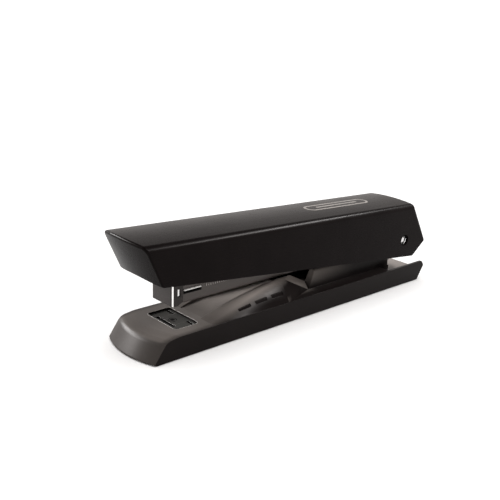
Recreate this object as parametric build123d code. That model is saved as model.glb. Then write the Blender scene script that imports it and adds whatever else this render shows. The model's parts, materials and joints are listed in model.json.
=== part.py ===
from build123d import *
import os

# Full-strip desktop stapler, millimetres. +Z is up, the nose points to -Y, the width runs along X.
# Origin: centre of the overall box in plan, at the level the feet stand on.

# driving dimensions
BASE_HALF = 19.5
BASE_BOTTOM = 0.4
DECK_TOP = 11.35
DECK_UNDER = 9.3
NOSE_BOW_CENTRE_Y = -52.8
NOSE_BOW_R = 47.4
CHANNEL_HALF = 9.0
CREASE_HALF = 12.0
PIVOT_Y = 83.0
PIVOT_Z = 27.0
PIN_R = 2.0
RUNNING_FIT = 0.05
DISH_R = 20.6
TAIL_INNER = 17.9

ANVIL_Y = -71.95
ANVIL_TOP = 10.55
ANVIL_THICK = 0.7
STEM_R = 1.8

MAG_HALF = 7.5
MAG_WALL = 0.9
MAG_BOTTOM = 21.4
MAG_TOP = 32.5
MAG_FRONT = -75.6
MAG_REAR = 88.5
NOSE_HALF = 8.64
NOSE_FRONT = -78.3
NOSE_WALL = 0.9
NOSE_BACK = -72.0
NOSE_BOTTOM = 21.15
CORE_HALF = 5.7
CORE_TOP = 28.6
STAPLE_HALF = 6.35
STAPLE_TOP = 29.2
STAPLE_WIRE = 0.5
STRIP_FRONT = -75.6
STRIP_REAR = -5.6
ROD_Z = 30.75
ROD_R = 0.8
REAR_STOP_Y = 76.0

COVER_HALF = 17.6
COVER_WALL = 1.8
COVER_FRONT_TOP = (-101.75, 57.9)
COVER_REAR_TOP = (89.2, 49.0)
COVER_TAIL = (103.48, 24.6)
COVER_RAKE = 0.46
COVER_REAR_BOTTOM = (91.9, 15.8)
COVER_FRONT_BOTTOM = (-92.2, 36.7)
REAR_SLOT_HALF = 13.3
FRAME_HALF = 13.6
FRAME_WALL = 1.2
BLADE_FRONT = -76.55
BLADE_THICK = 0.5
BLADE_BOTTOM = 29.6
ROOF_SLOPE = 0.0466
WEB_TOP_FRONT = 50.5
WEB_FRONT = -84.0

os.makedirs("parts", exist_ok=True)


def side_face(points, radii=0):
    """Face in the Y-Z plane from (y, z) corners, each corner with its own radius."""
    line = FilletPolyline(*points, radius=radii, close=True)
    return make_face(Plane.YZ * line)


def side_solid(points, radii, x_from, x_to):
    """Y-Z outline made solid between two x values."""
    face = side_face(points, radii)
    return Pos(x_from, 0, 0) * extrude(face, amount=x_to - x_from, dir=(1, 0, 0))


def block(x0, x1, y0, y1, z0, z1):
    middle = Pos((x0 + x1) / 2, (y0 + y1) / 2, (z0 + z1) / 2)
    return middle * Box(x1 - x0, y1 - y0, z1 - z0)


def rod_x(radius, x0, x1, y, z):
    return Pos((x0 + x1) / 2, y, z) * Rot(0, 90, 0) * Cylinder(radius, x1 - x0)


def rod_y(radius, y0, y1, x, z):
    return Pos(x, (y0 + y1) / 2, z) * Rot(90, 0, 0) * Cylinder(radius, y1 - y0)


def rod_z(radius, z0, z1, x, y):
    return Pos(x, y, (z0 + z1) / 2) * Cylinder(radius, z1 - z0)


def both_sides(shape):
    return shape + mirror(shape, about=Plane.YZ)


def save(name, shape):
    solids = shape.solids()
    export_step(solids[0] if len(solids) == 1 else Compound(children=list(solids)), f"parts/{name}.step")


# ---------------------------------------------------------------- base


def flank_section(y, top_points):
    """Cross-section of one flank at y: flat foot, inner wall, curved top, short outer wall."""
    foot = 9.5
    inner_x, inner_z = top_points[0]
    outer_x, outer_z = top_points[-1]
    top = Spline(*top_points)
    wall_in = Line((inner_x, foot), (inner_x, inner_z))
    wall_out = Line((outer_x, outer_z), (outer_x, foot))
    bottom = Line((outer_x, foot), (inner_x, foot))
    outline = Curve() + [wall_in, top, wall_out, bottom]
    return Plane.XZ.offset(-y) * make_face(outline)


def front_flank():
    low = flank_section(-61.5, [(8.2, 11.3), (9.4, 11.32), (12, 11.32), (15, 11.3), (17.5, 11.28), (19.2, 11.25)])
    middle = flank_section(-38, [(8.6, 17.5), (9.6, 17.7), (12, 17.3), (15, 15.7), (17.3, 13.6), (19.2, 11.25)])
    crest = flank_section(-12, [(9, 21.2), (9.8, 21.6), (12, 20.7), (14.5, 18.2), (17, 14.8), (19.2, 11.25)])
    steep = flank_section(9.2, [(9, 21.2), (9.8, 21.6), (11, 21.3), (11.8, 19.2), (12, 15.5), (12.05, 11.25)])
    ramp = loft([low, middle, crest])
    facet = loft([crest, steep], ruled=True)
    return ramp + facet


def channel_floor():
    """Raised floor between the flanks, just under the fully pressed magazine."""
    line = [(-60, 10), (-60, DECK_TOP), (-47, 13.7), (-6, 15.7), (-4, 15.0), (-4, 10)]
    return side_solid(line, [0, 0, 12, 1.5, 0, 0], -9.2, 9.2)


def rim_dashes(flank):
    """Three shallow sunk dashes along the outer foot of a flank, in place of lettering."""
    skin = flank - Pos(0, 0, -0.4) * flank
    dashes = None
    for y in (-44, -33, -22):
        dash = block(15.6, 16.8, y, y + 8, 9, 20)
        dash = fillet(dash.edges().filter_by(Axis.Z), 0.5)
        dashes = dash if dashes is None else dashes + dash
    return skin & dashes


def hump():
    points = [(9, 21.1), (9.8, 21.5), (11, 21.1), (11.7, 18.8), (12, 15.5), (12, 11.25)]
    section = flank_section(9.2, points)
    wall = extrude(section, amount=66.8, dir=(0, 1, 0))
    keep_line = [(5, 5), (5, 30), (60, 21.6), (76, 21.6), (76, 5)]
    keep = side_solid(keep_line, [0, 0, 0, 9.5, 0], 8, 13)
    return wall & keep


def notch_triangle(x, apex_y, apex_z):
    """V opening at one x: shallow front arm, steep rear arm."""
    top = 26.0
    rise = top - apex_z
    points = [(apex_y, apex_z), (apex_y + rise / 2.07, top), (apex_y - rise / 0.53, top)]
    return Pos(x, 0, 0) * side_face(points)


def v_notch():
    inner = notch_triangle(8.5, 9.3, 15.6)
    outer = notch_triangle(CREASE_HALF, 9.2, DECK_TOP)
    chamfer_part = loft([inner, outer], ruled=True)
    straight_part = extrude(outer, amount=9, dir=(1, 0, 0))
    return chamfer_part + straight_part


def base_cover():
    nose_line = [
        (0, BASE_BOTTOM),
        (NOSE_BOW_R, BASE_BOTTOM),
        (NOSE_BOW_R - 6.4, DECK_TOP - 0.95),
        (NOSE_BOW_R - 13.0, DECK_TOP),
        (0, DECK_TOP),
    ]
    nose_face = make_face(Plane.YZ * FilletPolyline(*nose_line, radius=[0, 0.6, 5.0, 12, 0], close=True))
    nose = Pos(0, NOSE_BOW_CENTRE_Y, 0) * revolve(nose_face, axis=Axis.Z)
    nose = nose & block(-BASE_HALF, BASE_HALF, -110, 0, 0, 12)
    rear_line = [(-52.8, BASE_BOTTOM), (96.4, BASE_BOTTOM), (101.6, 8.6), (99.6, DECK_TOP), (-52.8, DECK_TOP)]
    body = side_solid(rear_line, [0, 0.6, 0.8, 0.8, 0], -BASE_HALF, BASE_HALF)
    shell = nose + body
    flank = front_flank()
    flank -= rim_dashes(flank)
    shell += both_sides(flank + hump())
    shell += channel_floor()
    notch = v_notch()
    shell -= notch
    shell -= mirror(notch, about=Plane.YZ)

    dish = rod_x(DISH_R, -TAIL_INNER, TAIL_INNER, PIVOT_Y, PIVOT_Z)
    dish -= block(-CREASE_HALF, CREASE_HALF, 50, 77, 0, 50)
    shell -= dish
    shell -= block(-TAIL_INNER, TAIL_INNER, PIVOT_Y, 110, PIVOT_Z - DISH_R, 20)

    shell -= block(-17.7, 17.7, -84, 64, 0, DECK_UNDER)
    shell -= block(-10, 10, 63, 74, 0, DECK_UNDER)
    shell -= block(-17.7, 17.7, 66, 86, 0, 4.4)
    for y in (-94, 87.5):
        pad = block(-15, 15, y, y + 8.5, 0, 1.4)
        shell -= fillet(pad.edges().filter_by(Axis.Z), 2)
    shell += block(-13, 13, -80, -64, 7.4, DECK_UNDER)
    recess = block(-12, 12, -78.8, -65.1, ANVIL_TOP - ANVIL_THICK, 14)
    shell -= fillet(recess.edges().filter_by(Axis.Z), 2)
    shell -= rod_z(STEM_R + 0.1, 5, 12, 0, ANVIL_Y)
    for y in (-40, 40):
        shell += rod_z(3.5, 6.2, DECK_UNDER, 0, y)
        shell -= rod_z(1.3, 6.2, 9.0, 0, y)
    slots = block(8.2, 9.6, 56, 78, 4.8, 22)
    shell -= both_sides(slots)
    shell -= rod_z(1.0, 9.0, 12, 0, 62)
    return shell


def base_frame():
    plate = block(-9.5, 9.5, -83, 60, 5.0, 6.2)
    plate = fillet(plate.edges().filter_by(Axis.Z), 3)
    plate += block(-9.5, 9.5, 55, 73, 5.0, 6.2)
    plate -= rod_z(4.2, 4, 8, 0, ANVIL_Y)
    for y in (-40, 40):
        plate -= rod_z(1.3, 4, 8, 0, y)
    ear_line = [(57, 5.0), (73, 5.0), (88.3, 24), (88.3, 32.2), (77.7, 32.2), (77.0, 24), (68, 18), (57, 12)]
    ear = side_solid(ear_line, [0, 0, 5, 5, 5, 6, 4, 1], 8.3, 9.5)
    ear -= rod_x(PIN_R, 8, 10, PIVOT_Y, PIVOT_Z)
    return plate + both_sides(ear)


def base_screws():
    shape = None
    for y in (-40, 40):
        head = rod_z(2.6, 3.4, 5.0, 0, y) - block(-0.3, 0.3, y - 3, y + 3, 3.2, 3.9)
        screw = head + rod_z(1.3, 5.0, 9.0, 0, y)
        shape = screw if shape is None else shape + screw
    return shape


def foot(y0):
    pad = block(-15, 15, y0, y0 + 8.5, 0, 1.4)
    return fillet(pad.edges().filter_by(Axis.Z), 2)


def hinge_pin():
    pin = rod_x(PIN_R, -14.0, 14.0, PIVOT_Y, PIVOT_Z)
    head = rod_x(2.6, 13.9, 16.2, PIVOT_Y, PIVOT_Z)
    head = fillet(head.edges().filter_by(GeomType.CIRCLE).sort_by(Axis.X)[-1], 1.6)
    return pin + both_sides(head)


def hinge_spacers():
    ring = rod_x(3.6, 9.5, 12.3, PIVOT_Y, PIVOT_Z) - rod_x(PIN_R, 9, 13, PIVOT_Y, PIVOT_Z)
    return both_sides(ring)


def arm_return_spring():
    top_line = [(68, 11.95), (54, 11.95), (30, 21.0), (26, 20.2)]
    lower_line = [(y, z - 0.6) for y, z in reversed(top_line)]
    leaf = side_solid(top_line + lower_line, [0, 8, 2.6, 0, 0, 2, 8.6, 0], -5, 5)
    return leaf - rod_z(1.0, 9, 14, 0, 62)


def spring_rivet():
    head = rod_z(2.2, 11.95, 12.7, 0, 62)
    head = fillet(head.edges().filter_by(GeomType.CIRCLE).sort_by(Axis.Z)[-1], 0.6)
    return head + rod_z(1.0, 9.0, 11.95, 0, 62)


# ---------------------------------------------------------------- anvil


def anvil_plate():
    bottom = ANVIL_TOP - ANVIL_THICK
    plate = block(-11.7, 11.7, -78.5, -65.4, bottom, ANVIL_TOP)
    plate = fillet(plate.edges().filter_by(Axis.Z), 1.7)
    groove = block(-7.35, 7.35, -76.9, -75.1, ANVIL_TOP - 0.45, 12)
    plate -= fillet(groove.edges().filter_by(Axis.Z), 0.85)
    rear = block(5.5, 11.0, -68.3, -66.7, ANVIL_TOP - 0.45, 12)
    plate -= both_sides(fillet(rear.edges().filter_by(Axis.Z), 0.75))
    plate -= rod_z(1.0, 9, 12, 0, ANVIL_Y)
    return plate


def anvil_stem():
    bottom = ANVIL_TOP - ANVIL_THICK
    stem = rod_z(STEM_R, 1.3, bottom, 0, ANVIL_Y)
    return stem + rod_z(1.0, bottom, ANVIL_TOP - 0.1, 0, ANVIL_Y)


def anvil_button():
    button = rod_z(5.0, 1.3, 2.9, 0, ANVIL_Y)
    button = fillet(button.edges().filter_by(GeomType.CIRCLE).sort_by(Axis.Z)[0], 0.6)
    return button - rod_z(STEM_R, 1, 3.2, 0, ANVIL_Y)


def anvil_spring():
    path = Helix(pitch=0.95, height=3.8, radius=3.0)
    wire = Plane(origin=path @ 0, z_dir=path % 0) * Circle(0.22)
    coil = sweep(wire, path=path, is_frenet=True)
    return Pos(0, ANVIL_Y, 3.2) * coil


# ---------------------------------------------------------------- magazine arm


def magazine_channel():
    outer = block(-MAG_HALF, MAG_HALF, MAG_FRONT, MAG_REAR, MAG_BOTTOM, MAG_TOP)
    inner_half = MAG_HALF - MAG_WALL
    inner = block(-inner_half, inner_half, MAG_FRONT - 1, MAG_REAR + 1, MAG_BOTTOM + MAG_WALL, MAG_TOP + 1)
    floor_edges = outer.edges().filter_by(Axis.Y).sort_by(Axis.Z)[:2]
    channel = fillet(floor_edges, 0.8) - inner
    rear_edges = channel.edges().filter_by(Axis.X).group_by(Axis.Y)[-1]
    channel = fillet(rear_edges.sort_by(Axis.Z)[-2:], 4)
    rib = block(MAG_HALF - 0.2, MAG_HALF + 0.8, -71.2, -60.7, 26.7, 28.4)
    rib = fillet(rib.edges().filter_by(Axis.X), 0.7)
    rib = fillet(rib.faces().sort_by(Axis.X)[-1].edges(), 0.5)
    channel += both_sides(rib)
    channel -= rod_x(PIN_R + RUNNING_FIT, -10, 10, PIVOT_Y, PIVOT_Z)
    for y in (-50, 50):
        channel -= rod_z(1.0, 20, 23, 0, y)
    return channel


def nose_plate():
    front = block(-NOSE_HALF, NOSE_HALF, NOSE_FRONT, NOSE_BACK, NOSE_BOTTOM, 33.2)
    corner = front.edges().filter_by(Axis.Z).group_by(Axis.Y)[0]
    front = fillet(corner, 1.8)
    inside = block(-NOSE_HALF + 1.1, NOSE_HALF - 1.1, NOSE_FRONT + NOSE_WALL, 0, 20, 40)
    plate = front - inside
    lift = [(-75.2, 20), (-75.2, NOSE_BOTTOM), (-73.2, 22.3), (-70, 22.3), (-70, 20)]
    plate -= side_solid(lift, 0, -12, 12)
    window = block(-12, 12, -75.3, -73.6, 25.6, 29.7)
    return plate - window


def nose_tabs():
    """Small bright lugs that show in the nose plate's side windows."""
    lug = block(MAG_HALF, MAG_HALF + 0.75, -75.1, -73.8, 25.8, 29.5)
    lug = fillet(lug.faces().sort_by(Axis.X)[-1].edges(), 0.35)
    return both_sides(lug)


def staple_core():
    rail = block(-CORE_HALF, CORE_HALF, -75.6, REAR_STOP_Y, MAG_BOTTOM + MAG_WALL, CORE_TOP)
    top_edges = rail.edges().filter_by(Axis.Y).sort_by(Axis.Z)[-2:]
    rail = fillet(top_edges, 0.6)
    rail -= block(-CORE_HALF + 0.9, CORE_HALF - 0.9, -80, 90, 20, CORE_TOP - 0.9)
    for y in (-50, 50):
        tab = block(-CORE_HALF + 0.5, CORE_HALF - 0.5, y - 4, y + 4, MAG_BOTTOM + MAG_WALL, 23.2)
        rail += tab
        rail -= rod_z(1.0, 20, 24, 0, y)
    return rail


def magazine_rivets():
    shape = None
    for y in (-50, 50):
        head = rod_z(1.9, 20.9, MAG_BOTTOM, 0, y)
        head = fillet(head.edges().filter_by(GeomType.CIRCLE).sort_by(Axis.Z)[0], 0.4)
        upset = rod_z(1.8, 23.2, 23.7, 0, y)
        rivet = head + rod_z(1.0, MAG_BOTTOM, 23.2, 0, y) + upset
        shape = rivet if shape is None else shape + rivet
    return shape


def staple_strip():
    outer = block(-STAPLE_HALF, STAPLE_HALF, STRIP_FRONT + 0.5, STRIP_REAR, STAPLE_TOP - 6.0, STAPLE_TOP)
    outer = fillet(outer.edges().filter_by(Axis.Y).sort_by(Axis.Z)[-2:], 0.5)
    inner_half = STAPLE_HALF - STAPLE_WIRE
    return outer - block(-inner_half, inner_half, -80, 0, 20, STAPLE_TOP - STAPLE_WIRE)


def rear_stop():
    stop = block(-6.55, 6.55, REAR_STOP_Y, REAR_STOP_Y + 2.4, MAG_BOTTOM + MAG_WALL, 32.3)
    stop = fillet(stop.edges().filter_by(Axis.Y).sort_by(Axis.Z)[-2:], 1.5)
    return stop - rod_y(ROD_R, 70, 80, 0, ROD_Z)


def pusher_rod():
    rod = rod_y(ROD_R, -66, REAR_STOP_Y + 2.4, 0, ROD_Z)
    return fillet(rod.edges().filter_by(GeomType.CIRCLE).sort_by(Axis.Y)[0], 0.5)


# ---------------------------------------------------------------- pusher


def pusher():
    body = block(-STAPLE_HALF, STAPLE_HALF, STRIP_REAR, STRIP_REAR + 16, 22.9, 29.3)
    body = fillet(body.edges().filter_by(Axis.X).sort_by(Axis.Z)[:2], 1.5)
    tab = block(-2.6, 2.6, STRIP_REAR, STRIP_REAR + 6, 29.0, 32.2)
    tab = fillet(tab.edges().filter_by(Axis.Y).sort_by(Axis.Z)[-2:], 1.2)
    body += tab
    body -= block(-CORE_HALF - 0.08, CORE_HALF + 0.08, -10, 20, 20, CORE_TOP + 0.1)
    return body - rod_y(ROD_R + 0.1, -10, 10, 0, ROD_Z)


def pusher_spring():
    start = STRIP_REAR + 6.4
    length = REAR_STOP_Y - 0.4 - start
    path = Helix(pitch=length / 26, height=length, radius=1.15)
    wire = Plane(origin=path @ 0, z_dir=path % 0) * Circle(0.16)
    coil = sweep(wire, path=path, is_frenet=True)
    return Pos(0, start, ROD_Z) * Rot(-90, 0, 0) * coil


# ---------------------------------------------------------------- cap


def cover_blank(inset):
    """Wedge of the cover grown inwards by inset, open downwards, crowned top, bowed raked front."""
    half = COVER_HALF - inset
    front_y, front_z = COVER_FRONT_TOP
    rear_y, rear_z = COVER_REAR_TOP
    tail_y, tail_z = COVER_TAIL
    foot_z = 5.0
    rear_slope = (tail_y - rear_y) / (rear_z - tail_z)
    front = (front_y + inset * (1 + COVER_RAKE), front_z - inset)
    rear = (rear_y - inset * 0.6, rear_z - inset)
    spare = 2.0
    points = [
        (front[0] + (front[1] - foot_z) * COVER_RAKE - spare, foot_z),
        (front[0] - spare * (1 + COVER_RAKE), front[1] + spare),
        (rear[0] - spare * rear_slope, rear[1] + spare),
        (rear[0] + (rear[1] - foot_z) * rear_slope, foot_z),
    ]
    blank = side_solid(points, 0, -half, half)
    bow_r = 82.0 - inset
    lean = Plane(origin=(0, *front), x_dir=(1, 0, 0), z_dir=(0, -COVER_RAKE, 1))
    bow = lean * Pos(0, bow_r, 0) * Rot(0, 0, 90) * Cylinder(bow_r, 150)
    blank &= bow + block(-30, 30, -60, 150, -20, 90)
    return blank & crowned_bar(front, half, 109.0 - inset, 3.4 - 0.8 * inset)


def crowned_bar(front, half, crown_r, shoulder_r):
    """Long bar along the roof with an arched top and round shoulders."""
    sag = crown_r - (crown_r**2 - half**2) ** 0.5
    arch = ThreePointArc((-half, sag), (0, 0), (half, sag))
    walls = Polyline((half, sag), (half, 90), (-half, 90), (-half, sag))
    section = make_face(Curve() + [arch, walls])
    corners = section.vertices().sort_by(Axis.Y)[:2]
    section = fillet(corners, shoulder_r)
    along = Plane(origin=(0, *front), x_dir=(1, 0, 0), z_dir=(0, 1, -ROOF_SLOPE))
    return extrude(along * section, amount=300, both=True)


def round_end(face, radius):
    """Round every edge of an end face but the one at the foot."""
    edges = [e for e in face.edges() if e.center().Z > 12]
    return fillet(edges, radius)


def round_cover(blank, front_r, rear_r):
    blank = round_end(blank.faces().sort_by(Axis.Y)[0], front_r)
    return round_end(blank.faces().sort_by(Axis.Y)[-1], rear_r)


def cover_outer():
    return round_cover(cover_blank(0), 1.0, 2.5)


def roof_plane(y):
    """Plane on top of the cap frame's web at y, tilted with the roof."""
    z = WEB_TOP_FRONT - ROOF_SLOPE * (y - WEB_FRONT)
    return Plane(origin=(0, y, z), x_dir=(1, 0, 0), z_dir=(0, ROOF_SLOPE, 1))


def upright(y, radius, low, high, x=0):
    """Round post square to the roof at y, between two heights over the web."""
    return roof_plane(y) * Pos(x, 0, (low + high) / 2) * Cylinder(radius, high - low)


def top_mark(outer):
    """Plain inlaid ring with a bar inside it, flush with the roof."""
    skin = outer - Pos(0, 0, -0.35) * outer
    pill = block(-4.6, 4.6, 16, 65, 40, 70)
    pill = fillet(pill.edges().filter_by(Axis.Z), 4.5)
    hole = block(-3.2, 3.2, 17.4, 63.6, 39, 71)
    hole = fillet(hole.edges().filter_by(Axis.Z), 3.1)
    bar = block(-0.8, 0.8, 24, 57, 40, 70)
    bar = fillet(bar.edges().filter_by(Axis.Z), 0.75)
    return skin & (pill - hole + bar)


def cap_cover(outer):
    inner = round_cover(cover_blank(COVER_WALL), 0.4, 1.2)
    tail_y, tail_z = COVER_TAIL
    rear_slope = (tail_y - COVER_REAR_TOP[0]) / (COVER_REAR_TOP[1] - tail_z)
    high = 75.0
    keep_line = [
        COVER_FRONT_BOTTOM,
        (COVER_FRONT_BOTTOM[0] - (high - COVER_FRONT_BOTTOM[1]) * COVER_RAKE, high),
        (tail_y - (high - tail_z) * rear_slope, high),
        COVER_TAIL,
        COVER_REAR_BOTTOM,
    ]
    keep = side_solid(keep_line, [5.5, 0, 0, 2.5, 1.5], -20, 20)
    cover = (outer & keep) - inner
    slot = block(-REAR_SLOT_HALF, REAR_SLOT_HALF, 88, 110, 10, 38.5)
    cover -= fillet(slot.edges().filter_by(Axis.Y).sort_by(Axis.Z)[-2:], 4)
    cover -= rod_x(3.25, -20, 20, PIVOT_Y, PIVOT_Z)
    for y in (-60, 34):
        cover += upright(y, 3.2, 0, 5.6) & outer
        cover -= upright(y, 1.2, -1, 4.4)
    return cover - top_mark(outer)


def cap_frame():
    web_rear = 82.0
    rear_top = WEB_TOP_FRONT - ROOF_SLOPE * (web_rear - WEB_FRONT)
    line = [
        (WEB_FRONT, WEB_TOP_FRONT),
        (web_rear, rear_top),
        (89.5, 33),
        (89.0, 21.6),
        (77.0, 21.6),
        (64, 27.5),
        (10, 35.5),
        (-60, 44.0),
        (WEB_FRONT, 46.0),
    ]
    frame = side_solid(line, [1, 3, 3, 5.5, 5.5, 10, 10, 10, 2], -FRAME_HALF, FRAME_HALF)
    side_in = FRAME_HALF - FRAME_WALL
    under_front = WEB_TOP_FRONT - FRAME_WALL + ROOF_SLOPE
    under_rear = under_front - ROOF_SLOPE * 200
    hollow = [(WEB_FRONT - 1, 0), (WEB_FRONT - 1, under_front), (WEB_FRONT + 199, under_rear), (115, 0)]
    frame -= side_solid(hollow, 0, -side_in, side_in)
    frame -= rod_x(PIN_R + RUNNING_FIT, -20, 20, PIVOT_Y, PIVOT_Z)
    for y in (-60, 34):
        frame -= upright(y, 1.2, -3, 3)
    for x in (-4, 4):
        frame -= upright(-69, 0.8, -3, 3, x)
    frame -= upright(54, 1.0, -3, 3)
    return frame


def under_web(y, depth=0.0):
    return WEB_TOP_FRONT - FRAME_WALL - ROOF_SLOPE * (y - WEB_FRONT) - depth


def driver_blade():
    back = BLADE_FRONT + BLADE_THICK
    flange_end = -64.0
    line = [
        (BLADE_FRONT, BLADE_BOTTOM),
        (back, BLADE_BOTTOM),
        (back, under_web(back, BLADE_THICK)),
        (flange_end, under_web(flange_end, BLADE_THICK)),
        (flange_end, under_web(flange_end)),
        (BLADE_FRONT, under_web(BLADE_FRONT)),
    ]
    blade = side_solid(line, 0, -6.2, 6.2)
    for x in (-4, 4):
        blade -= upright(-69, 0.8, -3, 3, x)
    return blade


def driver_rivets():
    shape = None
    for x in (-4, 4):
        low = upright(-69, 1.6, -FRAME_WALL - BLADE_THICK - 0.7, -FRAME_WALL - BLADE_THICK, x)
        shaft = upright(-69, 0.8, -FRAME_WALL - BLADE_THICK, 0, x)
        rivet = low + shaft + upright(-69, 1.6, 0, 0.7, x)
        shape = rivet if shape is None else shape + rivet
    return shape


def cap_spring():
    top_line = [(60, under_web(60)), (44, under_web(44)), (-2, 33.3), (-7, 34.4)]
    lower_line = [(y, z - 0.6) for y, z in reversed(top_line)]
    leaf = side_solid(top_line + lower_line, [0, 8, 2.6, 0, 0, 2, 8.6, 0], -7.4, 7.4)
    return leaf - upright(54, 1.0, -4, 3)


def cap_spring_rivet():
    head = upright(54, 1.9, -FRAME_WALL - 1.3, -FRAME_WALL - 0.6)
    return head + upright(54, 1.0, -FRAME_WALL - 0.6, 0) + upright(54, 1.9, 0, 0.7)


def cap_screws():
    shape = None
    for y in (-60, 34):
        head = upright(y, 2.5, -FRAME_WALL - 1.6, -FRAME_WALL)
        cross = upright(y, 1.1, -FRAME_WALL - 1.8, -FRAME_WALL - 0.9)
        screw = head - cross + upright(y, 1.2, -FRAME_WALL, 4.4)
        shape = screw if shape is None else shape + screw
    return shape


roof = cover_outer()
save("base_cover", base_cover())
save("base_frame", base_frame())
save("base_screws", base_screws())
save("foot_front", foot(-94))
save("foot_rear", foot(87.5))
save("hinge_pin", hinge_pin())
save("hinge_spacers", hinge_spacers())
save("arm_return_spring", arm_return_spring())
save("arm_spring_rivet", spring_rivet())
save("anvil_plate", anvil_plate())
save("anvil_stem", anvil_stem())
save("anvil_button", anvil_button())
save("anvil_spring", anvil_spring())
save("magazine_channel", magazine_channel())
save("nose_plate", nose_plate())
save("nose_tabs", nose_tabs())
save("staple_core", staple_core())
save("magazine_rivets", magazine_rivets())
save("staple_strip", staple_strip())
save("rear_stop", rear_stop())
save("pusher_rod", pusher_rod())
save("pusher", pusher())
save("pusher_spring", pusher_spring())
save("cap_cover", cap_cover(roof))
save("cap_frame", cap_frame())
save("driver_blade", driver_blade())
save("driver_rivets", driver_rivets())
save("cap_spring", cap_spring())
save("cap_spring_rivet", cap_spring_rivet())
save("cap_screws", cap_screws())
save("top_mark", top_mark(roof))
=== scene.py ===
import json
import math
import random

import bmesh
import bpy
from mathutils import Matrix, Vector


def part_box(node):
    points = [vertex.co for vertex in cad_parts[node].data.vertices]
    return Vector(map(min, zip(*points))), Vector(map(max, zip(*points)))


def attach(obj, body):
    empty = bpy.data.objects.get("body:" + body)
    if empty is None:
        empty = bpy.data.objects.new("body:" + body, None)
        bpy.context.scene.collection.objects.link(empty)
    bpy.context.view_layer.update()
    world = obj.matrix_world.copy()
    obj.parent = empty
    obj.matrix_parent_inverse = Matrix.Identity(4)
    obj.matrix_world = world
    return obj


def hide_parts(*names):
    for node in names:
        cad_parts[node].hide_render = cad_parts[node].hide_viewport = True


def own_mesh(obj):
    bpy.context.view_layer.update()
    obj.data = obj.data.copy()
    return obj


# A full-strip desktop stapler: satin plastic, coated and bright steel, in the CAD's own frame.
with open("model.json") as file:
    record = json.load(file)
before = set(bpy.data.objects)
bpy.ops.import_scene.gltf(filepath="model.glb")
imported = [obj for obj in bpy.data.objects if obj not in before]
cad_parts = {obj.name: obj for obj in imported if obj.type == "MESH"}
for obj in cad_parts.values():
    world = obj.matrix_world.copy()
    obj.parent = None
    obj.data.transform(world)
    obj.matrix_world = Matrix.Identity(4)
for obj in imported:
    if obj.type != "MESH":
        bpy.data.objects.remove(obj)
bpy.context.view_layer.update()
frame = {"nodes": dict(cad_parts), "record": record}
MM = 0.001
random.seed(7)


def corners(node):
    """A CAD node's lowest and highest corners, in millimetres."""
    return [[round(value / MM, 2) for value in corner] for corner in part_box(node)]


# the anvil, the staples and the rod, in millimetres: X is across the object, Y along it, Z up
PLATE_LOW, PLATE_HIGH = corners("anvil_plate")
ANVIL_Y = (PLATE_LOW[1] + PLATE_HIGH[1]) / 2.0
ANVIL_TOP = PLATE_HIGH[2]
STRIP_LOW, STRIP_HIGH = corners("staple_strip")
ROD_LOW, ROD_HIGH = corners("pusher_rod")
ROD_Z = (ROD_LOW[2] + ROD_HIGH[2]) / 2.0

# the base: its deck, the flanks' climb to their crest, the notch behind it, and the sunk dashes
DECK_TOP = 11.35
RAMP = (-62.0, -12.0)
NOTCH = (9.0, 10.0)
DASH_SIDE = (15.6, 16.8)
DASH_FRONT = -44.0
DASH_PITCH = 11.0
DASH_LENGTH = 8.0
DASH_COUNT = 3

# the magazine, the rib pressed out of its side, and the flat of the nose plate
MAGAZINE_HALF = 7.5
RIB_FOOT = 25.8
RIB_MIDDLE = 27.8
NOSE_FLAT_HALF = 6.7

# colours of the finishes' shared details
WARM_TINT = (1.0, 0.93, 0.90, 1.0)
SPECK_GREY = (0.42, 0.41, 0.39)
# black painted in as shade: under the magazine's rib and on the anvil's groove floors
SHADE_BLACK = (0.002, 0.002, 0.002)
WORN_STEEL = (0.34, 0.33, 0.32)
# bright steel: bare polished metal on the nose plate's corners, and a painted highlight on the
# magazine's rib
BRIGHT_STEEL_AND_HIGHLIGHT = (0.86, 0.85, 0.84)


# ------------------------------------------------------------------ shader helpers

MATERIALS = {}


def new_material(name):
    """A fresh material, kept in MATERIALS under its name."""
    MATERIALS[name] = bpy.data.materials.new(name)
    MATERIALS[name].use_nodes = True
    tree = MATERIALS[name].node_tree
    coord = tree.nodes.new("ShaderNodeTexCoord")
    return tree, tree.nodes["Principled BSDF"], coord.outputs["Object"]


def stretched(tree, coord, scale):
    mapping = tree.nodes.new("ShaderNodeMapping")
    mapping.inputs["Scale"].default_value = scale
    tree.links.new(coord, mapping.inputs["Vector"])
    return mapping.outputs["Vector"]


def noise(tree, coord, scale, detail=4.0, rough=0.55):
    node = tree.nodes.new("ShaderNodeTexNoise")
    node.inputs["Scale"].default_value = scale
    node.inputs["Detail"].default_value = detail
    node.inputs["Roughness"].default_value = rough
    tree.links.new(coord, node.inputs["Vector"])
    return node.outputs["Fac"]


def to_range(tree, value, in_lo, in_hi, out_lo, out_hi):
    node = tree.nodes.new("ShaderNodeMapRange")
    node.inputs["From Min"].default_value = in_lo
    node.inputs["From Max"].default_value = in_hi
    node.inputs["To Min"].default_value = out_lo
    node.inputs["To Max"].default_value = out_hi
    tree.links.new(value, node.inputs["Value"])
    return node.outputs["Result"]


def maths(tree, kind, a, b):
    node = tree.nodes.new("ShaderNodeMath")
    node.operation = kind
    for slot, value in zip(node.inputs, (a, b)):
        if isinstance(value, (int, float)):
            slot.default_value = value
        else:
            tree.links.new(value, slot)
    return node.outputs[0]


def mix_colour(tree, fac, a, b):
    node = tree.nodes.new("ShaderNodeMix")
    node.data_type = "RGBA"
    tree.links.new(fac, node.inputs["Factor"])
    for slot, value in ((node.inputs[6], a), (node.inputs[7], b)):
        if isinstance(value, tuple):
            slot.default_value = (*value, 1.0)
        else:
            tree.links.new(value, slot)
    return node.outputs[2]


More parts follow.
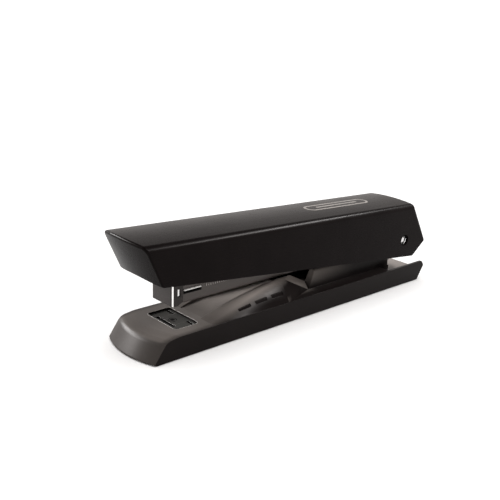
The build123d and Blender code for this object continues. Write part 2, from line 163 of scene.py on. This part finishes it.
def mottled(tree, broad, colour, darker, lighter):
    """The colour drifting between a darker and a lighter shade of itself."""
    lo = tuple(c * darker for c in colour)
    hi = tuple(min(1.0, c * lighter) for c in colour)
    return mix_colour(tree, to_range(tree, broad, 0.3, 0.7, 0.0, 1.0), lo, hi)


def rounded_normal(tree, radius):
    """The surface's direction as if its edges were rounded to this radius in metres."""
    bevel = tree.nodes.new("ShaderNodeBevel")
    bevel.samples = 6
    bevel.inputs["Radius"].default_value = radius
    return bevel.outputs["Normal"]


def add_bump(tree, bsdf, height, distance, edge_round=0.0):
    node = tree.nodes.new("ShaderNodeBump")
    node.inputs["Distance"].default_value = distance
    node.inputs["Strength"].default_value = 1.0
    tree.links.new(height, node.inputs["Height"])
    if edge_round:
        tree.links.new(rounded_normal(tree, edge_round), node.inputs["Normal"])
    tree.links.new(node.outputs["Normal"], bsdf.inputs["Normal"])


def dust_mask(tree, coord, scale, cut):
    """Sparse soft specks, 1 where dust sits."""
    node = tree.nodes.new("ShaderNodeTexVoronoi")
    node.inputs["Scale"].default_value = scale
    node.inputs["Randomness"].default_value = 1.0
    tree.links.new(coord, node.inputs["Vector"])
    return to_range(tree, node.outputs["Distance"], 0.0, cut, 1.0, 0.0)


def surface_axes(tree):
    """The face's own direction, split into x, y and z."""
    geometry = tree.nodes.new("ShaderNodeNewGeometry")
    split = tree.nodes.new("ShaderNodeSeparateXYZ")
    tree.links.new(geometry.outputs["Normal"], split.inputs[0])
    return split.outputs


def place_axes(tree, coord):
    """The place on the object, split into x, y and z."""
    split = tree.nodes.new("ShaderNodeSeparateXYZ")
    tree.links.new(coord, split.inputs[0])
    return split.outputs


def off_centre(tree, place):
    """How far a place is from the object's middle plane."""
    return maths(tree, "ABSOLUTE", place["X"], 0.0)


# ------------------------------------------------------------------ masks

def both(tree, first, *others):
    """The masks multiplied: full only where all of them are."""
    for other in others:
        first = maths(tree, "MULTIPLY", first, other)
    return first


def either(tree, first, *others):
    """The strongest of the masks."""
    for other in others:
        first = maths(tree, "MAXIMUM", first, other)
    return first


def past(tree, value, start, end, most=1.0):
    """0 up to start and most from end on, both in millimetres."""
    return to_range(tree, value, start * MM, end * MM, 0.0, most)


def short_of(tree, value, start, end, most=1.0, least=0.0):
    """most up to start and least from end on, both in millimetres."""
    return to_range(tree, value, start * MM, end * MM, most, least)


def between(tree, value, low, high, fade):
    """1 between low and high, fading over so many millimetres just inside both."""
    return both(tree, past(tree, value, low, low + fade), short_of(tree, value, high - fade, high))


def sunk_dashes(tree, coord):
    """1 on the floors of the three sunk dashes along each flank, which stay dark."""
    place = place_axes(tree, coord)
    fade = 0.1
    inside = between(tree, off_centre(tree, place), *DASH_SIDE, fade)
    row_end = DASH_FRONT + (DASH_COUNT - 1) * DASH_PITCH + DASH_LENGTH
    row = between(tree, place["Y"], DASH_FRONT, row_end, fade)
    from_front = maths(tree, "ADD", place["Y"], -DASH_FRONT * MM)
    step = maths(tree, "MODULO", from_front, DASH_PITCH * MM)
    dash = short_of(tree, step, DASH_LENGTH - fade, DASH_LENGTH)
    return both(tree, inside, row, dash)


def handled(tree, coord):
    """Near 1 where the base has lost its sheen: the facet in front of each notch and the foot
    of the crown's flank."""
    place = place_axes(tree, coord)
    along = place["Y"]
    facet = both(tree, past(tree, along, -24.0, -13.0, 0.9), short_of(tree, along, *NOTCH))
    foot = both(tree, past(tree, off_centre(tree, place), 14.5, 18.0, 0.9),
                past(tree, along, -55.0, -25.0), short_of(tree, along, 40.0, 60.0))
    upward = to_range(tree, surface_axes(tree)["Z"], 0.12, 0.24, 0.0, 1.0)
    return both(tree, either(tree, facet, foot), upward)


def painted_light_mask(tree, coord):
    """Where the black base is painted lighter, as painted light: most on level ground, some on the front
    bevel, the walls beside the arm, the notch's arms, the hump behind the notch and the floor between
    the tails. The strip along each rim is left dark as painted shade, wider towards the crown, and so
    are the dash floors."""
    place = place_axes(tree, coord)
    facing = surface_axes(tree)
    along = place["Y"]
    across = off_centre(tree, place)

    level = to_range(tree, facing["Z"], 0.60, 0.85, 0.0, 1.0)
    before_notch = short_of(tree, along, 8.0, 14.0, least=0.1)
    rim_shade_growth = past(tree, along, *RAMP, 5.0 * MM)
    inside_rim = short_of(tree, maths(tree, "ADD", across, rim_shade_growth), 16.0, 20.5, least=0.04)
    deck = both(tree, level, before_notch, inside_rim)

    bevel = both(tree, to_range(tree, facing["Y"], -0.40, -0.60, 0.0, 0.45),
                 short_of(tree, along, -82.0, -80.0))
    inner_wall = both(tree, short_of(tree, across, 9.7, 9.9, 0.9),
                      past(tree, along, -63.0, -62.0), short_of(tree, along, -40.0, -30.0))
    notch_arm = both(tree, to_range(tree, facing["Y"], 0.22, 0.28, 0.0, 0.75),
                     to_range(tree, facing["Z"], 0.45, 0.55, 0.0, 1.0),
                     short_of(tree, along, *NOTCH))
    hump = both(tree, past(tree, along, *NOTCH), short_of(tree, along, 12.0, 46.0, 0.5),
                past(tree, place["Z"], 12.0, 18.0))
    tail_floor = both(tree, past(tree, along, 72.0, 84.0, 0.6), short_of(tree, across, 18.2, 18.6))

    painted_lit = either(tree, deck, bevel, inner_wall, notch_arm, hump, tail_floor)
    return both(tree, painted_lit, to_range(tree, sunk_dashes(tree, coord), 0.0, 1.0, 1.0, 0.0))


def painted_light_strength(tree, coord):
    """How strong that painted light is: weak in front, stronger up the crown with height, and strongest
    in the channel between the flanks, where it is painted over the shade."""
    place = place_axes(tree, coord)
    high = to_range(tree, place["Z"], 12.0 * MM, 20.0 * MM, 0.08, 0.42)
    beneath = past(tree, place["Y"], -66.0, -48.0, 0.12)
    channel = both(tree, short_of(tree, off_centre(tree, place), 9.0, 9.8),
                   past(tree, place["Y"], -62.0, -25.0, 0.5))
    return either(tree, channel, high, beneath)


def bare_corner(tree, coord):
    """1 along the two rounded upright corners at the front of the nose plate."""
    facing = surface_axes(tree)
    sideways = maths(tree, "ABSOLUTE", facing["X"], 0.0)
    forward = maths(tree, "MULTIPLY", facing["Y"], -1.0)
    diagonal = to_range(tree, maths(tree, "MULTIPLY", sideways, forward), 0.43, 0.47, 0.0, 1.0)
    across = off_centre(tree, place_axes(tree, coord))
    return both(tree, past(tree, across, NOSE_FLAT_HALF, NOSE_FLAT_HALF + 0.2), diagonal)


def rib_painted_highlight(tree, coord):
    """1 on the upper half of the pressed rib that stands out of the magazine's side: a painted
    highlight, painted near white.
    """
    place = place_axes(tree, coord)
    proud = past(tree, off_centre(tree, place), MAGAZINE_HALF + 0.1, MAGAZINE_HALF + 0.2)
    return both(tree, proud, past(tree, place["Z"], RIB_MIDDLE - 0.1, RIB_MIDDLE + 0.1))


def rib_painted_shadow(tree, coord):
    """1 on the lower half of that rib and just under it: a painted shadow, black and without sheen."""
    place = place_axes(tree, coord)
    side = past(tree, off_centre(tree, place), MAGAZINE_HALF - 0.2, MAGAZINE_HALF - 0.1)
    along = both(tree, past(tree, place["Y"], -71.4, -71.2), short_of(tree, place["Y"], -60.6, -60.1))
    return both(tree, side, along, between(tree, place["Z"], RIB_FOOT, RIB_MIDDLE, 0.2))


def groove_painted_shade(tree, coord):
    """1 on the floors of the clinching grooves: painted shade, black and without sheen."""
    return short_of(tree, place_axes(tree, coord)["Z"], ANVIL_TOP - 0.25, ANVIL_TOP - 0.1)


def worn_edges(tree, radius):
    """1 along edges, where the rounded direction leans away from the face's own."""
    geometry = tree.nodes.new("ShaderNodeNewGeometry")
    dot = tree.nodes.new("ShaderNodeVectorMath")
    dot.operation = "DOT_PRODUCT"
    tree.links.new(geometry.outputs["Normal"], dot.inputs[0])
    tree.links.new(rounded_normal(tree, radius), dot.inputs[1])
    return to_range(tree, dot.outputs["Value"], 0.97, 0.80, 0.0, 1.0)


# ------------------------------------------------------------------ materials

def plastic(name, colour, rough, grain_mm=0.35, grain_depth=0.012, dust=0.25, edge=0.25, shine=0.3,
            painted_light_colours=None):
    """Moulded satin plastic: fine spark-eroded grain, uneven sheen, faint rubbed streaks, dust.
    The optional pair of colours is painted light, where it is weak and where it is strong."""
    tree, bsdf, coord = new_material(name)
    bsdf.inputs["Specular IOR Level"].default_value = shine
    bsdf.inputs["Specular Tint"].default_value = WARM_TINT
    grain = noise(tree, coord, 1000.0 / grain_mm, 3.0, 0.6)
    broad = noise(tree, coord, 55.0, 4.0)
    streaks = noise(tree, stretched(tree, coord, (900.0, 25.0, 900.0)), 1.0, 3.0)
    base = mottled(tree, broad, colour, 0.86, 1.16)
    specks = maths(tree, "MULTIPLY", dust_mask(tree, coord, scale=420.0, cut=0.055), dust)
    base = mix_colour(tree, specks, base, SPECK_GREY)
    if painted_light_colours:
        painted_light_colour = mix_colour(tree, painted_light_strength(tree, coord), *painted_light_colours)
        # painted light on the base's upward faces, painted over its shade
        base = mix_colour(tree, painted_light_mask(tree, coord), base, painted_light_colour)
        matt = either(tree, sunk_dashes(tree, coord), handled(tree, coord))
        matt_shine = 0.003
        level = to_range(tree, matt, 0.0, 1.0, shine, matt_shine)
        tree.links.new(level, bsdf.inputs["Specular IOR Level"])
    tree.links.new(base, bsdf.inputs["Base Color"])
    sheen = maths(tree, "ADD", to_range(tree, broad, 0.3, 0.7, rough - 0.025, rough + 0.03),
                  to_range(tree, streaks, 0.35, 0.7, 0.0, 0.035))
    tree.links.new(sheen, bsdf.inputs["Roughness"])
    add_bump(tree, bsdf, grain, grain_depth * MM, edge * MM)


def coated_steel(name, colour, rough, wear=0.5, edge=0.3, shine=0.4, bare_and_highlight=None, bright_metal=1.0,
                 painted_shade=None):
    """Black coated sheet steel: orange-peel coat, rubbed edges, fine handling scratches.
    The mask of bright steel marks bare polished corners and a painted highlight; the mask of painted
    shade marks where black is painted in for shade, without sheen."""
    tree, bsdf, coord = new_material(name)
    bsdf.inputs["Specular IOR Level"].default_value = shine
    bsdf.inputs["Specular Tint"].default_value = WARM_TINT
    peel = noise(tree, coord, 900.0, 2.0)
    broad = noise(tree, coord, 80.0, 4.0)
    scratch = noise(tree, stretched(tree, coord, (2600.0, 60.0, 2600.0)), 1.0, 2.0, 0.4)
    marks = to_range(tree, scratch, 0.66, 0.74, 0.0, 0.35)
    patchy = both(tree, worn_edges(tree, edge * MM), to_range(tree, broad, 0.4, 0.6, 0.15, 1.0))
    bare = maths(tree, "MULTIPLY", either(tree, patchy, marks), wear)
    base = mix_colour(tree, bare, mottled(tree, broad, colour, 0.88, 1.14), WORN_STEEL)
    metal = bare
    # painted shade: black, with the sheen taken away, where shade falls
    if painted_shade:
        shade_mask = painted_shade(tree, coord)
        shaded_shine = 0.01
        base = mix_colour(tree, shade_mask, base, SHADE_BLACK)
        level = to_range(tree, shade_mask, 0.0, 1.0, shine, shaded_shine)
        tree.links.new(level, bsdf.inputs["Specular IOR Level"])
    # bright steel: bare polished metal, and on the rib a painted highlight
    if bare_and_highlight:
        bright_patch = bare_and_highlight(tree, coord)
        base = mix_colour(tree, bright_patch, base, BRIGHT_STEEL_AND_HIGHLIGHT)
        metal = either(tree, metal, maths(tree, "MULTIPLY", bright_patch, bright_metal))
    tree.links.new(base, bsdf.inputs["Base Color"])
    tree.links.new(metal, bsdf.inputs["Metallic"])
    tree.links.new(to_range(tree, broad, 0.3, 0.7, rough - 0.04, rough + 0.05), bsdf.inputs["Roughness"])
    add_bump(tree, bsdf, peel, 0.006 * MM, edge * MM)


def bare_steel(name, colour, rough, stretch=(1800.0, 90.0, 1800.0), dull=0.3):
    """Drawn or brushed steel with a grain along one way, dulled in patches."""
    tree, bsdf, coord = new_material(name)
    lines = noise(tree, stretched(tree, coord, stretch), 1.0, 4.0, 0.6)
    broad = noise(tree, coord, 120.0, 4.0)
    spots = noise(tree, coord, 700.0, 2.0)
    dulled = tuple(c * (1.0 - dull) for c in colour)
    base = mix_colour(tree, to_range(tree, broad, 0.35, 0.7, 0.0, 1.0), colour, dulled)
    shade = mix_colour(tree, to_range(tree, lines, 0.3, 0.75, 0.0, 0.35), base, dulled)
    tree.links.new(shade, bsdf.inputs["Base Color"])
    bsdf.inputs["Metallic"].default_value = 1.0
    sheen = maths(tree, "ADD", to_range(tree, lines, 0.3, 0.7, rough - 0.05, rough + 0.07),
                  to_range(tree, spots, 0.5, 0.8, 0.0, 0.08))
    tree.links.new(sheen, bsdf.inputs["Roughness"])
    add_bump(tree, bsdf, lines, 0.004 * MM, 0.15 * MM)


def rubber(name, colour):
    """Matt rubber with a square non-slip weave and chalky bloom."""
    tree, bsdf, coord = new_material(name)
    waves = []
    for direction in ("X", "Y"):
        wave = tree.nodes.new("ShaderNodeTexWave")
        wave.bands_direction = direction
        wave.inputs["Scale"].default_value = 260.0
        tree.links.new(coord, wave.inputs["Vector"])
        waves.append(wave.outputs["Fac"])
    bloom = noise(tree, coord, 150.0, 5.0)
    chalk = (0.16, 0.155, 0.15)
    base = mix_colour(tree, to_range(tree, bloom, 0.45, 0.8, 0.0, 0.5), colour, chalk)
    tree.links.new(base, bsdf.inputs["Base Color"])
    tree.links.new(to_range(tree, bloom, 0.3, 0.7, 0.75, 0.92), bsdf.inputs["Roughness"])
    add_bump(tree, bsdf, both(tree, *waves), 0.08 * MM)


plastic("cover_plastic", (0.0030, 0.0022, 0.0022), 0.25, grain_mm=0.25, grain_depth=0.0003,
        dust=0.03, edge=0.0, shine=0.032)
# the base's upward faces carry painted light, with the rims left dark as painted shade
plastic("base_plastic", (0.0036, 0.0027, 0.0026), 0.31, grain_depth=0.006, dust=0.04, shine=0.066,
        painted_light_colours=((0.020, 0.0172, 0.0155), (0.38, 0.338, 0.312)))
plastic("mark_plastic", (0.13, 0.12, 0.112), 0.6, grain_mm=0.2, dust=0.15)
plastic("button_plastic", (0.02, 0.02, 0.02), 0.5)
plastic("pusher_plastic", (0.025, 0.025, 0.026), 0.45)
# painted highlight: the lip round the anvil's pocket is painted light grey
plastic("rim_highlight_paint", (0.17, 0.16, 0.15), 0.3, grain_mm=0.3, dust=0.05, shine=0.5)
plastic("tick_finish", (0.42, 0.39, 0.37), 0.5, grain_mm=0.15, dust=0.05)
rubber("rubber_foot", (0.018, 0.018, 0.018))
coated_steel("nose_steel", (0.015, 0.0125, 0.0118), 0.32, shine=0.2, bare_and_highlight=bare_corner)
# the magazine's rib: a painted highlight on its top and a painted shadow under it
coated_steel("magazine_steel", (0.040, 0.034, 0.031), 0.36, wear=0.4, bare_and_highlight=rib_painted_highlight,
             bright_metal=0.15, painted_shade=rib_painted_shadow)
# the anvil's groove floors are painted black as shade
coated_steel("anvil_steel", (0.0155, 0.0153, 0.0138), 0.45, wear=0.9, edge=0.12, shine=0.05,
             painted_shade=groove_painted_shade)
coated_steel("stamp_finish", (0.0015, 0.0015, 0.0015), 0.5, wear=0.1, edge=0.04, shine=0.01)
coated_steel("cap_frame_steel", (0.020, 0.020, 0.020), 0.4, wear=0.4)
bare_steel("zinc_steel", (0.52, 0.52, 0.53), 0.36)
bare_steel("screw_steel", (0.46, 0.46, 0.47), 0.3, stretch=(900.0, 900.0, 900.0))
bare_steel("spring_steel", (0.42, 0.42, 0.44), 0.28)
bare_steel("blade_steel", (0.45, 0.45, 0.46), 0.22, stretch=(90.0, 1800.0, 1800.0))
bare_steel("staple_wire", (0.66, 0.66, 0.67), 0.24, stretch=(60.0, 2000.0, 2000.0), dull=0.15)
bare_steel("tab_steel", (0.74, 0.73, 0.72), 0.22, stretch=(600.0, 600.0, 600.0), dull=0.15)
bare_steel("bright_rivet", (0.72, 0.71, 0.71), 0.16, stretch=(700.0, 700.0, 700.0), dull=0.2)

slot_of = {part["node"]: part["material_slot"] for part in frame["record"]["subparts"]}
for name, obj in frame["nodes"].items():
    obj.data.materials.clear()
    obj.data.materials.append(MATERIALS[slot_of[name]])


# ------------------------------------------------------------------ built pieces

def mesh_object(name, bm, material, smooth=True):
    """The bmesh as an object of its own, in the material of that name."""
    mesh = bpy.data.meshes.new(name)
    bmesh.ops.recalc_face_normals(bm, faces=bm.faces)
    bm.to_mesh(mesh)
    bm.free()
    for face in mesh.polygons:
        face.use_smooth = smooth
    mesh.materials.append(MATERIALS[material])
    obj = bpy.data.objects.new(name, mesh)
    bpy.context.scene.collection.objects.link(obj)
    return obj


def belongs(obj, body):
    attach(obj, body)


def skin_between(bm, low, high):
    """Faces between two closed rings with the same number of vertices."""
    count = len(low)
    for i in range(count):
        j = (i + 1) % count
        bm.faces.new((low[i], low[j], high[j], high[i]))


def solid_between(bm, first, second, offset):
    """A closed solid: the strip between two equal lines of points, extruded by offset."""
    near = [[bm.verts.new(Vector(point) * MM) for point in line] for line in (first, second)]
    far = [[bm.verts.new((Vector(point) + Vector(offset)) * MM) for point in line]
           for line in (first, second)]
    inner, outer = near
    inner_far, outer_far = far
    count = len(inner)
    for i in range(count - 1):
        j = i + 1
        bm.faces.new((inner[i], inner[j], outer[j], outer[i]))
        bm.faces.new((inner_far[i], outer_far[i], outer_far[j], inner_far[j]))
        bm.faces.new((outer[i], outer[j], outer_far[j], outer_far[i]))
        bm.faces.new((inner[i], inner_far[i], inner_far[j], inner[j]))
    for i in (0, count - 1):
        bm.faces.new((inner[i], outer[i], outer_far[i], inner_far[i]))


def staple_line(half, top, foot, bend):
    """One staple's X-Z outline from foot to foot with rounded shoulders, in millimetres."""
    steps = 4
    points = [(-half, foot)]
    for side, start in ((-1, 180.0), (1, 90.0)):
        for step in range(steps + 1):
            angle = math.radians(start - 90.0 * step / steps)
            x = side * (half - bend) + bend * math.cos(angle)
            z = top - bend + bend * math.sin(angle)
            points.append((x, z))
    points.append((half, foot))
    return points


def staples():
    """The glued strip as separate staples, each a hair higher or lower than the next."""
    pitch = 0.6
    gap = 0.07
    wire = 0.5
    half = STRIP_HIGH[0]
    foot = STRIP_LOW[2] + 0.02
    inner_bend = 0.25
    count = int((STRIP_HIGH[1] - STRIP_LOW[1]) / pitch)
    bm = bmesh.new()
    for index in range(count):
        top = STRIP_HIGH[2] - random.uniform(0.0, 0.05)
        y = STRIP_LOW[1] + index * pitch
        inner, outer = (
            [(x, y, z) for x, z in staple_line(half - inset, top - inset, foot, bend)]
            for inset, bend in ((wire, inner_bend), (0.0, inner_bend + wire))
        )
        solid_between(bm, inner, outer, (0.0, pitch - gap, 0.0))
    strip = mesh_object("staples", bm, "staple_wire", smooth=False)
    belongs(strip, "magazine")
    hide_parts("staple_strip")


def rounded_rectangle(half_x, half_y, centre_y, radius):
    """A rounded rectangle's outline, from corner to corner."""
    steps = 8
    points = []
    for turn, (sx, sy) in enumerate(((1, 1), (-1, 1), (-1, -1), (1, -1))):
        for step in range(steps + 1):
            angle = math.radians(90.0 * turn + 90.0 * step / steps)
            x = sx * (half_x - radius) + radius * math.cos(angle)
            y = centre_y + sy * (half_y - radius) + radius * math.sin(angle)
            points.append((x, y))
    return points


def anvil_rim():
    """Fine raised lip round the pocket that holds the anvil, painted light grey all round as a painted
    highlight on its edge.
    """
    fit = 0.3
    corner = 2.0
    half_x = PLATE_HIGH[0] + fit
    half_y = (PLATE_HIGH[1] - PLATE_LOW[1]) / 2.0 + fit
    # how far outside the pocket and above the deck, once round the lip
    section = ((0.02, -0.02), (0.05, 0.06), (0.14, 0.08), (0.23, 0.05), (0.27, -0.02))
    bm = bmesh.new()
    rings = []
    for out, rise in section:
        outline = rounded_rectangle(half_x + out, half_y + out, ANVIL_Y, corner + out)
        rings.append([bm.verts.new(Vector((x, y, DECK_TOP + rise)) * MM) for x, y in outline])
    for low, high in zip(rings, rings[1:] + rings[:1]):
        skin_between(bm, low, high)
    belongs(mesh_object("anvil_rim", bm, "rim_highlight_paint"), "base")


def arrow_arc(radius, height):
    """The round arrow's line at one radius, open on the side of its tip."""
    start, end = 30.0, 330.0
    steps = 40
    angles = [math.radians(start + (end - start) * step / steps) for step in range(steps + 1)]
    return [(radius * math.cos(a), ANVIL_Y + radius * math.sin(a), height) for a in angles]


def turn_mark():
    """Stamped sign for turning the anvil: a centre boss inside a round arrow."""
    thick = 0.06
    boss_radius = 1.15
    low = ANVIL_TOP - thick / 2.0
    rise = (0.0, 0.0, thick)
    bm = bmesh.new()
    solid_between(bm, arrow_arc(1.75, low), arrow_arc(2.15, low), rise)
    heel = (1.1, ANVIL_Y - 1.4, low)
    barbs = [(2.75, ANVIL_Y - 0.8, low), (2.35, ANVIL_Y + 0.2, low)]
    solid_between(bm, [heel, barbs[0]], [heel, barbs[1]], rise)
    # the arrow's head starts as two lines from one heel, and merging it leaves a triangle
    bmesh.ops.remove_doubles(bm, verts=bm.verts, dist=0.01 * MM)
    middle = Matrix.Translation(Vector((0.0, ANVIL_Y, ANVIL_TOP)) * MM)
    bmesh.ops.create_cone(bm, cap_ends=True, segments=24, radius1=boss_radius * MM,
                          radius2=boss_radius * MM, depth=thick * MM, matrix=middle)
    belongs(mesh_object("turn_mark", bm, "stamp_finish", smooth=False), "anvil")


def level_marks():
    """Row of small printed ticks on each side of the magazine, every fifth one tall."""
    first = -57.4
    pitch = 1.35
    width = 0.28
    foot = 27.0
    count = 16
    sunk, proud = 0.01, 0.02
    bm = bmesh.new()
    for side in (-1, 1):
        start, end = sorted((side * (MAGAZINE_HALF - sunk), side * (MAGAZINE_HALF + proud)))
        for index in range(count):
            y = first + pitch * index
            tall = 1.5 if index % 5 == 0 else 0.9
            lower, upper = ([(start, y, z), (start, y + width, z)] for z in (foot, foot + tall))
            solid_between(bm, lower, upper, (end - start, 0.0, 0.0))
    belongs(mesh_object("level_marks", bm, "tick_finish", smooth=False), "magazine")


def coil_rise(turn, turns, length, wire):
    """Height of the wire's centre after so many turns: the end turns lie flat against their seats."""
    flat = 2.0 * wire
    if turn < 1.0:
        return turn * flat
    if turn > turns - 1.0:
        return length - (turns - turn) * flat
    return flat + (turn - 1.0) / (turns - 2.0) * (length - 2.0 * flat)


def coil(name, foot, head, radius, wire, turns):
    """A compression spring wound from foot to head, in millimetres. wire is its radius."""
    length = (head - foot).length
    axis = (head - foot).normalized()
    side = Vector((1.0, 0.0, 0.0))
    other = axis.cross(side)
    steps = 16
    facets = 10
    bm = bmesh.new()
    rings = []
    for step in range(turns * steps + 1):
        angle = 2.0 * math.pi * step / steps
        outward = math.cos(angle) * side + math.sin(angle) * other
        centre = foot + radius * outward + coil_rise(step / steps, turns, length, wire) * axis
        ring = []
        for facet in range(facets):
            tilt = 2.0 * math.pi * facet / facets
            skin = centre + wire * (math.cos(tilt) * outward + math.sin(tilt) * axis)
            ring.append(bm.verts.new(skin * MM))
        rings.append(ring)
    for low, high in zip(rings, rings[1:]):
        skin_between(bm, low, high)
    bm.faces.new(rings[0])
    bm.faces.new(rings[-1])
    return mesh_object(name, bm, "spring_steel")


def coil_springs():
    """Both coil springs, each seated on the body that moves and pressed against the one that doesn't."""
    # name, foot, head, radius, wire, turns, body, CAD node, joint and its travel
    springs = (
        ("pusher_coil", (0.0, 0.6, ROD_Z), (0.0, 75.8, ROD_Z), 1.15, 0.16, 28,
         "follower", "pusher_spring", "pusher_slide", 56.0),
        ("anvil_coil", (0.0, ANVIL_Y, 3.2), (0.0, ANVIL_Y, 7.0), 3.0, 0.22, 5,
         "anvil", "anvil_spring", "anvil_lift", 1.6),
    )
    for name, foot, head, radius, wire, turns, body, node, joint, travel in springs:
        foot, head = Vector(foot), Vector(head)
        spring = coil(name, foot, head, radius, wire, turns)
        belongs(spring, body)
        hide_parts(node)
        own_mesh(spring)


def rounded_bends(points, reach):
    """A Y-Z line with each inner corner swept round, starting reach millimetres before it."""
    steps = 6
    line = [Vector(points[0])]
    for before, corner, after in zip(points, points[1:], points[2:]):
        corner = Vector(corner)
        entry = corner + (Vector(before) - corner).normalized() * reach
        leave = corner + (Vector(after) - corner).normalized() * reach
        for step in range(steps + 1):
            t = step / steps
            line.append(entry * (1 - t) ** 2 + corner * 2 * t * (1 - t) + leave * t ** 2)
    line.append(Vector(points[-1]))
    return line


def leaf_springs():
    """Both leaf springs, drawn as low as the closed stapler presses them."""
    thick = 0.6
    bend = 2.2
    riveted = DECK_TOP + thick - 0.02
    # name, upper line in Y and Z, body, CAD node
    springs = (
        ("arm_leaf", [(68.0, riveted), (54.0, riveted), (30.0, 18.0), (26.5, 17.3)],
         "base", "arm_return_spring"),
        ("cap_leaf", [(60.0, 42.53), (44.0, 43.27), (-2.0, 38.1), (-6.5, 38.9)],
         "cap", "cap_spring"),
    )
    for name, points, body, node in springs:
        half = corners(node)[1][0]
        line = rounded_bends(points, bend)
        upper, lower = ([(-half, y, z - drop) for y, z in line] for drop in (0.0, thick))
        bm = bmesh.new()
        solid_between(bm, lower, upper, (2.0 * half, 0.0, 0.0))
        leaf = mesh_object(name, bm, "spring_steel", smooth=False)
        belongs(leaf, body)
        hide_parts(node)


staples()
anvil_rim()
turn_mark()
level_marks()
coil_springs()
leaf_springs()


# ------------------------------------------------------------------ stage

def stage_plane():
    """A round of plain pale paper under everything."""
    bm = bmesh.new()
    bmesh.ops.create_circle(bm, cap_ends=True, radius=0.8, segments=128)
    tree, bsdf, coord = new_material("paper_floor")
    fibre = to_range(tree, noise(tree, coord, 30.0, 6.0), 0.3, 0.7, 0.0, 1.0)
    paper = mix_colour(tree, fibre, (0.93, 0.93, 0.93), (0.95, 0.95, 0.95))
    tree.links.new(paper, bsdf.inputs["Base Color"])
    bsdf.inputs["Roughness"].default_value = 0.9
    bsdf.inputs["Specular IOR Level"].default_value = 0.1
    floor = mesh_object("floor", bm, "paper_floor", smooth=False)
    return floor


def add_light(name, kind, power, direction):
    """A lamp that shines along the direction."""
    data = bpy.data.lights.new(name, kind)
    data.energy = power
    obj = bpy.data.objects.new(name, data)
    bpy.context.scene.collection.objects.link(obj)
    obj.rotation_euler = Vector(direction).to_track_quat("-Z", "Y").to_euler()
    return obj


def soft_panel(name, place, aim, size, power):
    """A rectangular lamp at a place, aimed at a point, both in metres."""
    panel = add_light(name, "AREA", power, Vector(aim) - Vector(place))
    panel.location = place
    panel.data.shape = "RECTANGLE"
    panel.data.size, panel.data.size_y = size
    return panel


def soft_sun(name, toward, width_degrees, power):
    """A sun that stands in the direction toward and is so many degrees wide."""
    sun = add_light(name, "SUN", power, -Vector(toward))
    sun.data.angle = math.radians(width_degrees)
    return sun


def sky_gradient(world):
    """Bright round the horizon, dim overhead, like a lit wall round a dark ceiling."""
    tree = world.node_tree
    background = tree.nodes["Background"]
    coord = tree.nodes.new("ShaderNodeTexCoord")
    split = tree.nodes.new("ShaderNodeSeparateXYZ")
    tree.links.new(coord.outputs["Generated"], split.inputs[0])
    horizon, overhead = 1.12, 0.22
    strength = to_range(tree, split.outputs["Z"], 0.45, 0.62, horizon, overhead)
    tree.links.new(strength, background.inputs["Strength"])
    background.inputs["Color"].default_value = (1.0, 0.95, 0.92, 1.0)


def lights_only(lights, targets):
    """These lights fall on the targets and on nothing else."""
    lit = bpy.data.collections.new("lit_" + lights[0].name)
    for obj in targets:
        lit.objects.link(obj)
    for light in lights:
        light.light_linking.receiver_collection = lit


def studio():
    world = bpy.data.worlds.new("studio")
    bpy.context.scene.world = world
    world.use_nodes = True
    sky_gradient(world)
    stapler = [obj for obj in bpy.context.scene.objects if obj.type == "MESH"]
    lights_only((
        soft_panel("front_left", place=(-0.70, -0.46, 0.38), aim=(0.0, -0.08, 0.02),
                   size=(0.62, 0.30), power=22.5),
        soft_sun("rear_right", toward=(0.50, 0.30, 0.81), width_degrees=34.0, power=1.6),
        soft_panel("edge_strip", place=(0.20, 0.36, 0.38), aim=(0.0, 0.0, 0.045),
                   size=(0.30, 0.06), power=5.0),
    ), stapler)
    overhead = soft_sun("overhead", toward=(0.0, 0.0, 1.0), width_degrees=70.0, power=3.0)
    lights_only((overhead,), (stage_plane(),))


def photo_camera():
    """The camera, standing where the photograph was taken from and tilted as it was."""
    azimuth = math.radians(47.91)
    elevation = math.radians(18.35)
    roll = math.radians(2.19)
    place = Vector((280.15, -276.25, 161.86)) * MM
    level = math.cos(elevation)
    back = Vector((math.sin(azimuth) * level, -math.cos(azimuth) * level, math.sin(elevation)))
    side = Vector((0.0, 0.0, 1.0)).cross(back).normalized()
    up = back.cross(side)
    right = math.cos(roll) * side + math.sin(roll) * up
    top = math.cos(roll) * up - math.sin(roll) * side
    data = bpy.data.cameras.new("photo_camera")
    data.sensor_width = 36.0
    data.lens = 55.88
    data.clip_start = 0.01
    camera = bpy.data.objects.new("photo_camera", data)
    bpy.context.scene.collection.objects.link(camera)
    rotation = Matrix((right, top, back)).transposed().to_4x4()
    camera.matrix_world = Matrix.Translation(place) @ rotation
    bpy.context.scene.camera = camera


studio()
photo_camera()
bpy.context.scene.view_settings.view_transform = "Standard"
